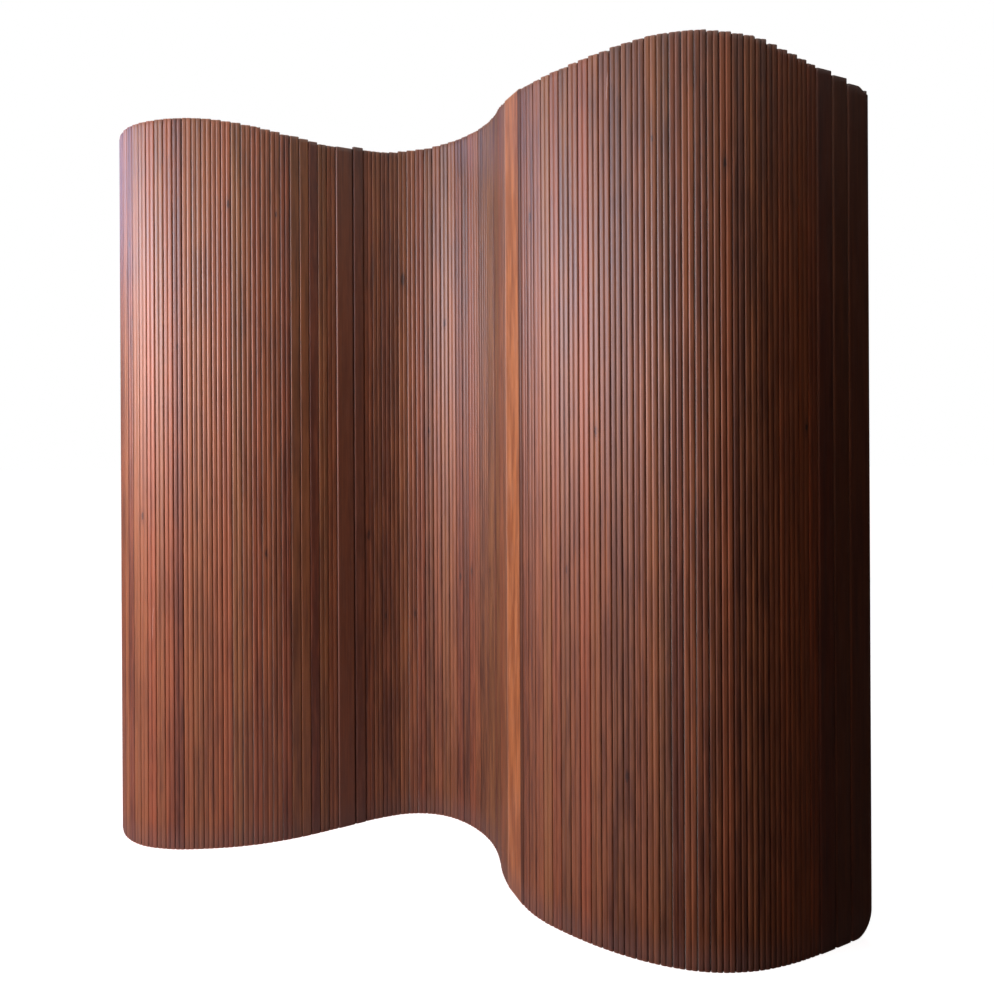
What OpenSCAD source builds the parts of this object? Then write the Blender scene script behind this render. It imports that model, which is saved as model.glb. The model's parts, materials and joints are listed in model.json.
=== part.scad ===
// Roll-up slat screen: upright reeded slats and plain boards threaded on steel cables.
// Every piece folds on its neighbour about the upright line in the middle of the gap between them.
// The screen stands on its slat ends. The origin is on the floor, under the middle of the plan.
// +X runs along the screen, +Y to its back, +Z up.

/* [Screen] */
// Height of the tallest piece
screen_height = 1720; // [1200:5:2000]
// How far the tops of neighbouring slats may differ
top_unevenness = 1.5; // [0:0.5:10]
// Direction of the left end stile, from the X axis
start_angle = -70; // [-90:5:90]
// Gap between two pieces where the screen is straight
joint_gap = 0.6; // [0.5:0.05:0.9]

/* [Slats] */
// Slat pitch along the screen, with one gap
slat_pitch = 22.5; // [18:0.5:30]
// Slat thickness over the crowns of its reeds
slat_thickness = 9; // [7.5:0.5:12]
// Depth of the groove between the two reeds of a slat
groove_depth = 1.6; // [0.8:0.1:2.2]
// Rounding of a slat's upright edges
slat_edge_round = 3; // [2:0.25:3.5]

/* [Boards] */
// Pitch of an end stile
stile_pitch = 61; // [40:1:90]
// Pitch of each of the two boards beside the right end stile
inner_board_pitch = 42; // [25:1:80]
// Pitch of the board in the valley
valley_board_pitch = 45; // [30:1:80]
// Pitch of the narrow board beside it
narrow_board_pitch = 28; // [20:1:60]
// Pitch of the broad board on the steep stretch
broad_board_pitch = 82; // [40:1:110]
// Thickness of the boards
board_thickness = 11; // [9:0.5:14]
// Rounding of a board's upright edges
board_edge_round = 4; // [3:0.25:4.25]
// Rounding of the lower outer corner of an end stile
foot_corner_round = 50; // [20:1:58]

/* [Cables] */
// Number of cables, one above the other
cable_count = 5; // [3:1:8]
// Diameter of a cable
cable_d = 2; // [1.5:0.1:3]
// Radial room around a cable in its hole
cable_clearance = 0.2; // [0.1:0.05:0.4]
// Height of the lowest cable, and how far the highest lies below the top
cable_margin = 100; // [60:5:200]
// Diameter of a ferrule
ferrule_d = 5; // [4:0.25:6]
// Length of a ferrule
ferrule_length = 8; // [5:0.5:12]
// Radial room around a ferrule in its pocket
pocket_clearance = 0.6; // [0.3:0.1:1]
// How far the ferrule lies below the stile's edge
pocket_recess = 6; // [4:0.5:10]
// Cable end that stands out of the ferrule
cable_tail = 2; // [1:0.5:3]

/* [Hidden] */
$fn = 64;
// Parts of the screen from left to right: name, number of pieces, kind of piece, the degrees by
// which each piece is turned from the one on its left, and how far its top stands out of the line
// of the tops.
PARTS = [
    ["left_end_stile", 1, "stile", 0, 0],
    ["slats_01", 3, "slat", 8, 0],
    ["slats_02", 4, "slat", 8, 0],
    ["slats_03", 4, "slat", 4, 0],
    ["slats_04", 4, "slat", 1.5, 0],
    ["slats_05", 4, "slat", 2.5, 0],
    ["slats_06", 2, "slat", 2, 0],
    ["smooth_slats", 3, "smooth", 2, 2],
    ["slats_07", 2, "slat", 0.5, 0],
    ["valley_board", 1, "valley", 1, 0],
    ["narrow_board", 1, "narrow", -1, 5],
    ["slats_08", 4, "slat", -2.5, 0],
    ["slats_09", 4, "slat", -7.5, 0],
    ["slats_10", 4, "slat", -7.5, 0],
    ["slats_11", 4, "slat", -4.5, 0],
    ["slats_12", 4, "slat", -4.5, 0],
    ["slats_13", 3, "slat", -3, 0],
    ["slats_14", 3, "slat", 4, 0],
    ["broad_board", 1, "broad", 6.5, 2],
    ["slats_15", 4, "slat", 6, 0],
    ["slats_16", 4, "slat", 2, 0],
    ["slats_17", 4, "slat", 2, 0],
    ["slats_18", 4, "slat", 3, 0],
    ["slats_19", 4, "slat", 4, 0],
    ["slats_20", 4, "slat", 4, 0],
    ["slats_21", 4, "slat", 2.5, 0],
    ["right_boards", 2, "inner", 0.5, 2],
    ["right_end_stile", 1, "stile", 1.5, 0]
];
LAST_PART = len(PARTS) - 1;
// Line of the tops: distance along the screen from its left end, and height over the mean piece
TOP_LINE = [
    [0, 0], [130, 10], [270, 18], [350, 17], [450, 5], [540, -11], [620, -21], [770, -17], [860, -5],
    [945, 5], [1035, 11], [1130, 14], [1200, 6], [1300, -9], [1430, -10], [1520, -2], [1620, 10],
    [1700, 19], [1790, 17], [1880, 6], [1970, -20], [2050, -38], [2160, -52]
];
function two_digits(k) = str(k < 10 ? "0" : "", k);
WOOD = [for (part = PARTS) part[0]];
CABLES = [for (k = [0:LAST_PART]) str("cables_", two_digits(k + 1))];

// Length left between the ends of two cable stretches, so that they can fold
cable_break = 0.4;
// Radial room between a ferrule and its cable
ferrule_fit = 0.05;
// Cutters reach this far past the faces that they cut
past = 1;
// Draws the lots for the slats' lengths
length_seed = 7;

cable_r = cable_d / 2;
bore_r = cable_r + cable_clearance;
pocket_r = ferrule_d / 2 + pocket_clearance;
pocket_depth = pocket_recess + ferrule_length;
cable_heights = [
    for (k = [0:cable_count - 1])
        cable_margin + k * (screen_height - 2 * cable_margin) / (cable_count - 1)
];

// Reeds: two per slat, each with a crowned front and back
reed_w = (slat_pitch - joint_gap) / 2;
crown_r = (pow(reed_w / 2, 2) + pow(groove_depth, 2)) / (2 * groove_depth);

// Plan of the screen: one pitch line from joint to joint, left to right
function is_slat(kind) = kind == "slat" || kind == "smooth";
function pitch_of(kind) =
    is_slat(kind) ? slat_pitch
    : kind == "stile" ? stile_pitch
    : kind == "inner" ? inner_board_pitch
    : kind == "valley" ? valley_board_pitch
    : kind == "narrow" ? narrow_board_pitch
    : broad_board_pitch;
owner = [for (k = [0:LAST_PART]) for (j = [1:PARTS[k][1]]) k];
LAST = len(owner) - 1;
kinds = [for (k = owner) PARTS[k][2]];
pitches = [for (kind = kinds) pitch_of(kind)];
turns = [for (k = owner) PARTS[k][3]];
angles = [for (i = 0, a = start_angle; i <= LAST; i = i + 1, a = a + (i <= LAST ? turns[i] : 0)) a];
function along(i) = i <= LAST ? pitches[i] * [cos(angles[i]), sin(angles[i])] : [0, 0];
joints = [for (i = 0, p = [0, 0]; i <= LAST + 1; p = p + along(i), i = i + 1) p];
function middle(i) = (joints[i] + joints[i + 1]) / 2;
function first_of(k) = min([for (i = [0:LAST]) if (owner[i] == k) i]);
function last_of(k) = max([for (i = [0:LAST]) if (owner[i] == k) i]);

// Reach of a piece from its middle towards the direction that makes angle a with its width
function bar_reach(w, t, r, a) = (w / 2 - r) * abs(cos(a)) + (t / 2 - r) * abs(sin(a)) + r;
function reeds_reach(a) =
    reed_w / 2 * abs(cos(a)) + (slat_thickness / 2 - crown_r) * abs(sin(a)) + crown_r;
function reach(i, a) =
    let (smooth = bar_reach(pitches[i] - joint_gap, slat_thickness, slat_edge_round, a))
    kinds[i] == "slat" ? min(smooth, reeds_reach(a))
    : kinds[i] == "smooth" ? smooth
    : bar_reach(pitches[i] - joint_gap, board_thickness, board_edge_round, a);
x_low = min([for (i = [0:LAST]) middle(i)[0] - reach(i, angles[i])]);
x_high = max([for (i = [0:LAST]) middle(i)[0] + reach(i, angles[i])]);
y_low = min([for (i = [0:LAST]) middle(i)[1] - reach(i, angles[i] - 90)]);
y_high = max([for (i = [0:LAST]) middle(i)[1] + reach(i, angles[i] - 90)]);
plan_middle = [(x_low + x_high) / 2, (y_low + y_high) / 2];

// Tops: they follow the line, and neighbouring slats differ a little more
runs = [for (i = 0, run = 0; i <= LAST; run = run + pitches[i], i = i + 1) run + pitches[i] / 2];
lots = rands(0, 1, LAST + 1, length_seed);
drops = [for (i = [0:LAST]) is_slat(kinds[i]) ? top_unevenness * pow(lots[i], 2) : 0];
rises = [for (i = [0:LAST]) lookup(runs[i], TOP_LINE) + PARTS[owner[i]][4] - drops[i]];
tallest = max(rises);
function piece_length(i) = screen_height - tallest + rises[i];

// Flat bar with rounded upright edges
module bar_section(w, t, r) {
    square([w - 2 * r, t], center = true);
    square([w, t - 2 * r], center = true);
    for (x = [-1, 1], y = [-1, 1]) translate([x * (w / 2 - r), y * (t / 2 - r)]) circle(r);
}

// One reed: two crowned faces back to back
module reed_section() {
    intersection() {
        translate([0, slat_thickness / 2 - crown_r]) circle(crown_r);
        translate([0, crown_r - slat_thickness / 2]) circle(crown_r);
    }
}

module slat_section(w) {
    intersection() {
        bar_section(w, slat_thickness, slat_edge_round);
        union() {
            for (side = [-1, 1]) translate([side * reed_w / 2, 0]) reed_section();
        }
    }
}

// Puts what follows at the middle of piece i, with its width along X
module at_piece(i) {
    spot = middle(i) - plan_middle;
    translate([spot[0], spot[1], 0]) rotate([0, 0, angles[i]]) children();
}

// Round bar along X from x0 to x1
module rod_x(r, x0, x1) {
    translate([x0, 0, 0]) rotate([0, 90, 0]) cylinder(r = r, h = x1 - x0);
}

// Copies of what follows at the heights of the cables
module at_cables() {
    for (z = cable_heights) translate([0, 0, z]) children();
}

// Turns what is made for the right edge of an end stile to its outer edge: side -1 is the left
module outer_edge(side) {
    mirror([side < 0 ? 1 : 0, 0, 0]) children();
}

// What is cut off to round the lower right corner of a board w wide
module foot_corner(w) {
    translate([w / 2 - foot_corner_round, 0, foot_corner_round]) difference() {
        translate([0, -board_thickness, -foot_corner_round - past])
            cube([foot_corner_round + past, 2 * board_thickness, foot_corner_round + past]);
        rotate([90, 0, 0]) cylinder(r = foot_corner_round, h = 4 * board_thickness, center = true);
    }
}

module piece(i) {
    w = pitches[i] - joint_gap;
    at_piece(i) difference() {
        linear_extrude(height = piece_length(i)) {
            if (kinds[i] == "slat") slat_section(w);
            else if (kinds[i] == "smooth") bar_section(w, slat_thickness, slat_edge_round);
            else bar_section(w, board_thickness, board_edge_round);
        }
        at_cables() rod_x(bore_r, -w / 2 - past, w / 2 + past);
        if (kinds[i] == "stile") outer_edge(i == 0 ? -1 : 1) {
            at_cables() rod_x(pocket_r, w / 2 - pocket_depth, w / 2 + past);
            foot_corner(w);
        }
    }
}

function wood_colour(k) =
    PARTS[k][2] == "broad" ? "peru"
    : is_slat(PARTS[k][2]) ? "saddlebrown"
    : "sienna";

module wood_part(k) {
    color(wood_colour(k)) for (i = [first_of(k):last_of(k)]) piece(i);
}

// Ends of the cable inside piece i, from its middle. It runs past a bend within its part, stops
// short of the joint with the next part, and ends just outside its ferrule in an end stile.
stub = pocket_recess - cable_tail + joint_gap / 2;
function cable_from(i) =
    -pitches[i] / 2 + (i == 0 ? stub : owner[i] != owner[i - 1] ? cable_break / 2 : -cable_r);
function cable_to(i) =
    pitches[i] / 2 - (i == LAST ? stub : owner[i] != owner[i + 1] ? cable_break / 2 : -cable_r);

// Block on one side of the mitre at joint i: side -1 is the left
module mitre_block(i, side) {
    bend = joints[i] - plan_middle;
    block = 4 * cable_r;
    translate([bend[0], bend[1], 0]) rotate([0, 0, angles[i] - turns[i] / 2]) {
        translate([side < 0 ? -block : 0, -block / 2, -block / 2]) cube(block);
    }
}

module cable_stretch(i) {
    difference() {
        at_piece(i) rod_x(cable_r, cable_from(i), cable_to(i));
        if (i > first_of(owner[i])) mitre_block(i, -1);
        if (i < last_of(owner[i])) mitre_block(i + 1, 1);
    }
}

module cables_in(k) {
    color("silver") at_cables() union() {
        for (i = [first_of(k):last_of(k)]) cable_stretch(i);
    }
}

// Crimped ferrules on the cables' ends, each against the floor of its pocket
module ferrules(i, side) {
    seat = (pitches[i] - joint_gap) / 2 - pocket_depth;
    color("gainsboro") at_piece(i) at_cables() outer_edge(side) difference() {
        rod_x(ferrule_d / 2, seat, seat + ferrule_length);
        rod_x(cable_r + ferrule_fit, seat - past, seat + ferrule_length + past);
    }
}

for (k = [0:LAST_PART]) {
    wood_part(k);
    cables_in(k);
}
ferrules(0, -1);  // left_ferrules
ferrules(LAST, 1);  // right_ferrules
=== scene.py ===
# %% [markdown]
# # A roll-up slat screen
# The screen is a row of upright slats and boards of stained wood, threaded on five steel cables.
# It stands on its slat ends in a long S wave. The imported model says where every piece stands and
# how it folds, so this lesson places no piece of the screen by eye: it reads each solid of the
# model and dresses it with a finer mesh and a varnished finish.

import json
import math

import bmesh
import bpy
import numpy as np
from mathutils import Matrix, Quaternion, Vector


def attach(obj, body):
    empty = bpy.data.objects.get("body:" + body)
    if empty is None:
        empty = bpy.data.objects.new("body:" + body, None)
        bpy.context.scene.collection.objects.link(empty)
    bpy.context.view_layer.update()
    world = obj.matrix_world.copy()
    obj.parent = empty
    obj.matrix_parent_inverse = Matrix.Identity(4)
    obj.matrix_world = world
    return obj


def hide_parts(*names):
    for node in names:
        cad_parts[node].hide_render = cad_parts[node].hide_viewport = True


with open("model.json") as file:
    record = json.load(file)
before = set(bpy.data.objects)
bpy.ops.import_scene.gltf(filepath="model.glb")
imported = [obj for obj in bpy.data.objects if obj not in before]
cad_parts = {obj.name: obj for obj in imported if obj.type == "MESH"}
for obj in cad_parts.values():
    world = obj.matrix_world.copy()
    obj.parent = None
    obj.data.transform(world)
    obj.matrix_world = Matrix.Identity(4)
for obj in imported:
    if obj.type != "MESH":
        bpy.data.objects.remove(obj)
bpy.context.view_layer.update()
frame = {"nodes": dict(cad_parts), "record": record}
MM = 0.001

# %% [markdown]
# ## Camera
# The view is level, a little above the middle of the screen, so upright edges stay upright. The
# lens looks straight ahead and is shifted down, as with a view camera. Tilting it would make the
# slats converge. A very slight roll leans all the slats the same way.

# %% Camera
FRAME_WIDTH = 994
FRAME_HEIGHT = 995
HORIZON = 414.4
LENS = 30.785
SENSOR_WIDTH = 36
FAR_CLIP = 60
CAMERA_PLACE = (0.1095, -1.8638, 1.0192)
CAMERA_ROLL = math.radians(-0.28)

scene = bpy.context.scene
camera_data = bpy.data.cameras.new("camera")
camera_data.sensor_fit = "HORIZONTAL"
camera_data.sensor_width = SENSOR_WIDTH
camera_data.lens = LENS
camera_data.shift_y = (HORIZON - FRAME_HEIGHT / 2) / FRAME_WIDTH
camera_data.clip_end = FAR_CLIP
camera = bpy.data.objects.new("camera", camera_data)
camera.location = CAMERA_PLACE
camera.rotation_mode = "QUATERNION"
level = Vector((0, 1, 0)).to_track_quat("-Z", "Y")
camera.rotation_quaternion = level @ Quaternion((0, 0, 1), CAMERA_ROLL)
scene.collection.objects.link(camera)
scene.camera = camera
scene.view_settings.view_transform = "Standard"
print("camera at", CAMERA_PLACE, "shift", round(camera_data.shift_y, 4))


# %% [markdown]
# ## Node helpers
# Every finish is a node tree. A few short helpers keep the trees readable: one places a node with
# its settings and inputs, one does arithmetic, one mixes two colours.

# %% Node helpers
def place_node(tree, kind, inputs=None, **settings):
    """Adds a node, sets its properties, and fills its inputs with values or links."""
    node = tree.nodes.new(kind)
    for name, value in settings.items():
        setattr(node, name, value)
    for name, value in (inputs or {}).items():
        fill(tree, node.inputs[name], value)
    return node


def fill(tree, socket, value):
    """Links a socket, or sets its value."""
    if isinstance(value, bpy.types.NodeSocket):
        tree.links.new(value, socket)
    else:
        socket.default_value = value


def maths(tree, operation, *values, clamp=False):
    node = place_node(tree, "ShaderNodeMath", operation=operation, use_clamp=clamp)
    for index, value in enumerate(values):
        fill(tree, node.inputs[index], value)
    return node.outputs[0]


def vector_maths(tree, operation, *values):
    node = place_node(tree, "ShaderNodeVectorMath", operation=operation)
    for index, value in enumerate(values):
        fill(tree, node.inputs[index], value)
    return node.outputs["Value" if operation in ("LENGTH", "DOT_PRODUCT") else "Vector"]


def blend_colours(tree, share, first, second, how="MIX"):
    node = place_node(tree, "ShaderNodeMix", data_type="RGBA", blend_type=how, clamp_factor=True)
    fill(tree, node.inputs["Factor"], share)
    fill(tree, node.inputs[6], first)
    fill(tree, node.inputs[7], second)
    return node.outputs[2]


def ramp(tree, value, low, high, out_low=0.0, out_high=1.0):
    """Turns the range low to high into out_low to out_high, with soft ends."""
    node = place_node(tree, "ShaderNodeMapRange", interpolation_type="SMOOTHSTEP")
    for name, number in (("Value", value), ("From Min", low), ("From Max", high),
                         ("To Min", out_low), ("To Max", out_high)):
        fill(tree, node.inputs[name], number)
    return node.outputs[0]


def noise(tree, vector, scale, detail=3.0, roughness=0.5, distortion=0.0):
    node = place_node(tree, "ShaderNodeTexNoise", {
        "Vector": vector, "Scale": scale, "Detail": detail, "Roughness": roughness,
        "Distortion": distortion}, noise_dimensions="3D")
    return node.outputs[0]


def new_group(title, inputs, outputs):
    """A shader node group with named sockets. Returns the group, its input node and output node."""
    group = bpy.data.node_groups.new(title, "ShaderNodeTree")
    for name, kind, value in inputs:
        socket = group.interface.new_socket(name=name, in_out="INPUT", socket_type=kind)
        if value is not None:
            socket.default_value = value
    for name, kind in outputs:
        group.interface.new_socket(name=name, in_out="OUTPUT", socket_type=kind)
    entry = group.nodes.new("NodeGroupInput")
    result = group.nodes.new("NodeGroupOutput")
    return group, entry, result


def use_group(tree, group, inputs):
    node = tree.nodes.new("ShaderNodeGroup")
    node.node_tree = group
    for name, value in inputs.items():
        fill(tree, node.inputs[name], value)
    return node


FLOAT = "NodeSocketFloat"
VECTOR = "NodeSocketVector"
print("node helpers ready")

# %% [markdown]
# ## Floor and background
# The screen stands on a pale floor in front of a white ground. The floor is an ordinary pale
# surface for the light that bounces, and on top of that it glows for rays that look at it
# directly, so it reads as white and still keeps a soft shadow.

# %% Floor and background
FLOOR_COLOUR = (0.8, 0.79, 0.78, 1)
FLOOR_REACH = 14
FLOOR_GLOW = 0.92
CLEAR_FROM = 1.1
CLEAR_TO = 2.4
AMBIENT = (0.17, 0.07, 0.045, 1)


def looked_at(tree):
    """1 for rays from the camera, in a gloss or through glass, and 0 for bounced light."""
    path = place_node(tree, "ShaderNodeLightPath")
    direct = maths(tree, "MAXIMUM", path.outputs["Is Camera Ray"],
                   path.outputs["Is Transmission Ray"])
    return maths(tree, "MAXIMUM", direct, path.outputs["Is Glossy Ray"])


def level_square(title, reach, height):
    """A level square mesh that reaches equally far to all four sides."""
    mesh = bpy.data.meshes.new(title)
    mesh.from_pydata([(-reach, -reach, height), (reach, -reach, height), (reach, reach, height),
                      (-reach, reach, height)], [], [(0, 1, 2, 3)])
    return mesh


floor_mesh = level_square("floor", FLOOR_REACH, 0)
floor = bpy.data.objects.new("floor", floor_mesh)
scene.collection.objects.link(floor)
floor_finish = bpy.data.materials.new("pale floor")
floor_finish.use_nodes = True
tree = floor_finish.node_tree
tree.nodes.clear()
matt = place_node(tree, "ShaderNodeBsdfDiffuse", {"Color": FLOOR_COLOUR})
where = place_node(tree, "ShaderNodeTexCoord").outputs["Object"]
away = vector_maths(tree, "LENGTH", where)
strength = ramp(tree, away, CLEAR_FROM, CLEAR_TO, FLOOR_GLOW, 1.0)
glow = place_node(tree, "ShaderNodeEmission", {
    "Color": (1, 1, 1, 1), "Strength": maths(tree, "MULTIPLY", looked_at(tree), strength)})
both = place_node(tree, "ShaderNodeAddShader")
tree.links.new(matt.outputs[0], both.inputs[0])
tree.links.new(glow.outputs[0], both.inputs[1])
place_node(tree, "ShaderNodeOutputMaterial", {"Surface": both.outputs[0]})
floor_mesh.materials.append(floor_finish)

world = bpy.data.worlds.new("white ground")
scene.world = world
world.use_nodes = True
tree = world.node_tree
tree.nodes.clear()
ground = place_node(tree, "ShaderNodeBackground", {
    "Color": blend_colours(tree, looked_at(tree), AMBIENT, (1, 1, 1, 1)), "Strength": 1.0})
place_node(tree, "ShaderNodeOutputWorld", {"Surface": ground.outputs[0]})
print("floor", 2 * FLOOR_REACH, "m wide, ambient light", AMBIENT[:3])

# %% [markdown]
# ## Lamps
# Satin varnish shows what lights it. One tall window at the left front gives the broad pale sheen
# on every slat that turns towards it, and leaves the far end of the wave in shade. Its lower half
# is warm, its upper half is the blue of the sky, and more sky stands at the far left. Two weak
# warm lamps stand for light off the floor and the room, and a lamp behind keeps the back of the
# screen readable. Dark curtains all round, and a rug that is dark at the right and in front, are
# what the varnish mirrors elsewhere. The camera doesn't see them. The lamps are tinted, so the
# wood looks different under neutral light.

# %% Lamps, curtains and rug
def soft_lamp(title, place, target, width, height, power, colour):
    data = bpy.data.lights.new(title, "AREA")
    data.shape = "RECTANGLE"
    data.size = width
    data.size_y = height
    data.energy = power
    data.color = colour
    lamp = bpy.data.objects.new(title, data)
    lamp.location = place
    lamp.rotation_mode = "QUATERNION"
    lamp.rotation_quaternion = (Vector(target) - Vector(place)).to_track_quat("-Z", "Y")
    scene.collection.objects.link(lamp)
    return lamp


LAMP_DISTANCE = 2.5


def lamp_at(title, azimuth, height, width, tall, power, colour):
    """A lamp on a circle round the screen: azimuth 0 is in front, -90 at the left end."""
    turn = math.radians(azimuth)
    place = (LAMP_DISTANCE * math.sin(turn), -LAMP_DISTANCE * math.cos(turn), height)
    return soft_lamp(title, place, (0, 0, height), width, tall, power, colour)


# title, azimuth, height, width, how tall, power, colour
LAMPS = (
    ("window, lower half", -62.5, 1.2, 1.3, 0.6, 39, (1.0, 0.57, 0.50)),
    ("window, upper half", -62.5, 1.8, 1.3, 0.6, 30, (0.62, 0.80, 1.0)),
    ("light off a warm floor", -62.5, 0.6, 1.3, 0.6, 5, (1.0, 0.2, 0.1)),
    ("sky at the far left", -106, 2.1, 1.0, 0.9, 11, (0.45, 0.56, 1.0)),
    ("warm room", -20, 1.6, 0.65, 1.2, 6, (1.0, 0.35, 0.16)),
)
for lamp in LAMPS:
    lamp_at(*lamp)
soft_lamp("back lamp", (1.3, 3.0, 2.0), (0, 0, 0.8), 2.0, 1.6, 40, (1.0, 0.98, 0.96))


def unseen(obj, finish):
    """Part of the set that only the varnish sees."""
    scene.collection.objects.link(obj)
    obj.visible_camera = False
    obj.data.materials.append(finish)


CURTAIN_RADIUS = 3.4
CURTAIN_HEIGHT = 4.0
CURTAIN_FOLDS = 32
CURTAIN_HEM = 0.01
DARK_CLOTH = (0.026, 0.014, 0.010, 1)
curtain_finish = bpy.data.materials.new("dark cloth")
curtain_finish.use_nodes = True
cloth = curtain_finish.node_tree.nodes["Principled BSDF"]
cloth.inputs["Base Color"].default_value = DARK_CLOTH
cloth.inputs["Roughness"].default_value = 1
for title, first, last in (("curtain at the right", -20, 165), ("curtain at the left", -195, -20)):
    points = []
    for step in range(CURTAIN_FOLDS + 1):
        turn = math.radians(first + (last - first) * step / CURTAIN_FOLDS)
        spot = (CURTAIN_RADIUS * math.sin(turn), -CURTAIN_RADIUS * math.cos(turn))
        points += [(*spot, CURTAIN_HEM), (*spot, CURTAIN_HEIGHT)]
    cloth_mesh = bpy.data.meshes.new(title)
    cloth_mesh.from_pydata(points, [], [
        (2 * k, 2 * k + 2, 2 * k + 3, 2 * k + 1) for k in range(CURTAIN_FOLDS)])
    unseen(bpy.data.objects.new(title, cloth_mesh), curtain_finish)

RUG_HEIGHT = 0.5 * MM
RUG_REACH = 3.4
DARK_RUG = (0.022, 0.014, 0.010, 1)
PALE_RUG = (0.42, 0.38, 0.37, 1)
PALE_LEFT_OF = (0.45, 0.1)
PALE_BEHIND = (-1.6, -1.0)
rug_mesh = level_square("rug", RUG_REACH, RUG_HEIGHT)
rug_finish = bpy.data.materials.new("rug, pale at the left")
rug_finish.use_nodes = True
tree = rug_finish.node_tree
cloth = tree.nodes["Principled BSDF"]
where = place_node(tree, "ShaderNodeSeparateXYZ", {
    "Vector": place_node(tree, "ShaderNodeTexCoord").outputs["Object"]})
pale = maths(tree, "MULTIPLY", ramp(tree, where.outputs[0], *PALE_LEFT_OF),
             ramp(tree, where.outputs[1], *PALE_BEHIND))
fill(tree, cloth.inputs["Base Color"], blend_colours(tree, pale, DARK_RUG, PALE_RUG))
cloth.inputs["Roughness"].default_value = 1
rug = bpy.data.objects.new("rug", rug_mesh)
unseen(rug, rug_finish)
rug.visible_shadow = False
print(len(LAMPS) + 1, "lamps, two curtains, a rug")


# %% [markdown]
# ## Reading the model
# Each wooden node of the model holds one to four solids: slats or a board. For a finer mesh in
# the same place we need each solid's middle, direction, width, thickness and height. Its
# direction is the one in which the box round its plan is smallest. The model's directions are
# whole or half degrees, so half-degree steps find them exactly.

# %% Read the solids of a node
def separate_solids(mesh):
    """Lists of vertex positions, one for each solid of a mesh."""
    work = bmesh.new()
    work.from_mesh(mesh)
    bmesh.ops.remove_doubles(work, verts=work.verts, dist=1e-6)
    work.verts.ensure_lookup_table()
    seen = set()
    solids = []
    for start in work.verts:
        if start.index in seen:
            continue
        seen.add(start.index)
        queue = [start]
        points = []
        while queue:
            vertex = queue.pop()
            points.append(tuple(vertex.co))
            for edge in vertex.link_edges:
                other = edge.other_vert(vertex)
                if other.index not in seen:
                    seen.add(other.index)
                    queue.append(other)
        solids.append(np.array(points))
    work.free()
    return solids


HALF_DEGREES = np.radians(np.arange(-90, 90, 0.5))


def measure_piece(points):
    """Middle, directions, width, thickness and top of an upright piece."""
    best = None
    for turn in HALF_DEGREES:
        across = points[:, 0] * math.cos(turn) + points[:, 1] * math.sin(turn)
        through = -points[:, 0] * math.sin(turn) + points[:, 1] * math.cos(turn)
        wide, thick = np.ptp(across), np.ptp(through)
        if wide >= thick and (best is None or wide * thick < best[0]):
            best = (wide * thick, turn, wide, thick, across, through)
    turn, wide, thick, across, through = best[1:]
    middle_across = (across.max() + across.min()) / 2
    middle_through = (through.max() + through.min()) / 2
    along = np.array([math.cos(turn), math.sin(turn)])
    back = np.array([-math.sin(turn), math.cos(turn)])
    return {"middle": along * middle_across + back * middle_through, "along": along, "back": back,
            "width": wide, "thickness": thick, "top": points[:, 2].max()}


def kind_of(name):
    """What a wooden node holds: reeded slats, smooth slats or boards. None for metal."""
    if name.startswith("slats_"):
        return "slat"
    if name == "smooth_slats":
        return "smooth"
    if name.startswith("cables_") or name.endswith("_ferrules"):
        return None
    return "board"


layout = {}
for name in sorted(name for name in frame["nodes"] if kind_of(name)):
    found = [measure_piece(points) for points in separate_solids(frame["nodes"][name].data)]
    layout[name] = sorted(found, key=lambda piece: piece["middle"][0])
print("pieces found:", sum(len(pieces) for pieces in layout.values()), "in", len(layout), "nodes")

# %% [markdown]
# ## Sections
# A slat's section is two reeds side by side, each crowned front and back, with softened outer
# corners. A board's section is a flat bar with round edges. The outline of each is a closed list
# of points, front face first. In the middle of each edge runs a fine bead, which stands a quarter
# of a millimetre out into the gap. The real screen has no such bead. Here two of them leave a
# slit of about 0.06 mm at any fold, so that hardly any light passes.

# %% Sections
GROOVE = 1.6 * MM
CROWN_FLATNESS = 3.0
SLAT_CORNER = 3.0 * MM
BOARD_CORNER = 5.0 * MM
BEAD = 0.3 * MM
BEAD_SHY = 0.03 * MM
BEAD_STEPS = 4
CORNER_ANGLES = [15, 30, 45, 60, 75, 90]
REEDED_STEPS = 25
PLAIN_STEPS = 9
BOARD_CROWN = 0.6


def reed_height(across, width, thickness):
    """Height of a reeded face over the middle plane, at distances across from the middle line."""
    quarter = width / 4
    from_crown = np.abs(np.abs(across) - quarter) / quarter
    return thickness / 2 - GROOVE * np.minimum(from_crown, 1) ** CROWN_FLATNESS


def corner_height(across, width, thickness, corner):
    """Height of a flat bar's face, with its rounded corners."""
    into = np.maximum(np.abs(across) - (width / 2 - corner), 0)
    return thickness / 2 - corner + np.sqrt(np.maximum(corner ** 2 - into ** 2, 0))


def face_stations(width, corner, plain_steps):
    """Places across a face at which its outline has points, closer where it curves."""
    flat = np.linspace(-(width / 2 - corner), width / 2 - corner, plain_steps)
    arc = corner * np.sin(np.radians(CORNER_ANGLES))
    right = width / 2 - corner + arc
    return np.concatenate([-right[::-1], flat, right])


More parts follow.
